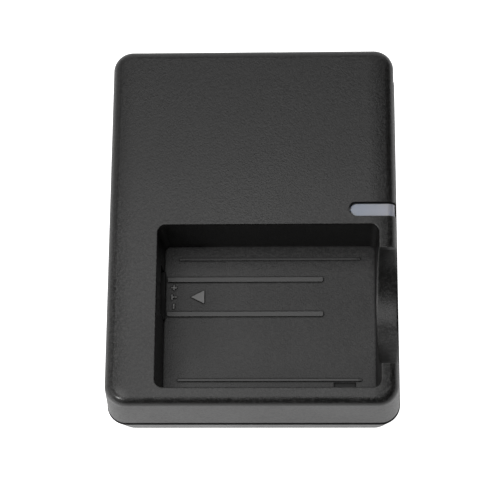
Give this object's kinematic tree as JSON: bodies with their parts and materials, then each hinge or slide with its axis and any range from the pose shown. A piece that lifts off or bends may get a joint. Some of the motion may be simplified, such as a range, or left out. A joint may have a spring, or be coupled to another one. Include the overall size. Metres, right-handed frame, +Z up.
{
  "type": "camera battery charger",
  "caption": "Desktop charger for a flat camera battery: a tapered two-part case with a deep battery bay, finger scoop, charge lamp window and a rear figure-8 mains inlet.",
  "frame": {"origin": "middle of the base, at the surface that it stands on", "axes": "+X to the right with the battery bay in front, +Y to the back, where the mains inlet is, +Z up"},
  "size_m": [0.067, 0.0874, 0.026],
  "materials": {
    "case_plastic": "fine spark-eroded black",
    "lamp_plastic": "translucent, slightly frosted",
    "insulator_plastic": "smooth black",
    "contact_metal": "nickel-plated brass",
    "screw_steel": "black zinc",
    "board_laminate": "green solder mask",
    "barrier_sheet": "white film",
    "fuse_body": "brown moulding",
    "thermistor_coat": "dark green coat",
    "film_box": "yellow box",
    "ferrite": "dark grey ferrite",
    "copper_winding": "enamelled copper wire",
    "tape_winding": "yellow polyester tape",
    "moulded_black": "epoxy moulding",
    "can_sleeve": "dark blue shrink sleeve",
    "disc_coat": "blue epoxy coat",
    "resistor_body": "black film",
    "chip_ceramic": "tan ceramic",
    "led_body": "white with a clear dome"
  },
  "bodies": {
    "root": {"upper_case": "case_plastic", "lower_case": "case_plastic", "lamp_window": "lamp_plastic", "terminal_block": "insulator_plastic", "inlet_socket": "insulator_plastic", "transformer_bobbin": "insulator_plastic", "contact_positive": "contact_metal", "contact_sense": "contact_metal", "contact_negative": "contact_metal", "inlet_pin_live": "contact_metal", "inlet_pin_neutral": "contact_metal", "case_screws": "screw_steel", "main_board": "board_laminate", "insulation_sheet": "barrier_sheet", "mains_fuse": "fuse_body", "inrush_thermistor": "thermistor_coat", "x_capacitor": "film_box", "choke_core": "ferrite", "transformer_core": "ferrite", "choke_windings": "copper_winding", "transformer_winding": "tape_winding", "bridge_rectifier": "moulded_black", "switch_ic": "moulded_black", "optocoupler": "moulded_black", "control_ic": "moulded_black", "charge_transistor": "moulded_black", "snubber_diode": "moulded_black", "output_rectifier": "moulded_black", "bulk_capacitor": "can_sleeve", "output_capacitor": "can_sleeve", "y_capacitor": "disc_coat", "snubber_capacitor": "disc_coat", "snubber_resistor": "resistor_body", "sense_resistor": "resistor_body", "chip_resistors": "resistor_body", "chip_capacitors": "chip_ceramic", "status_led": "led_body"}
  },
  "joints": []
}
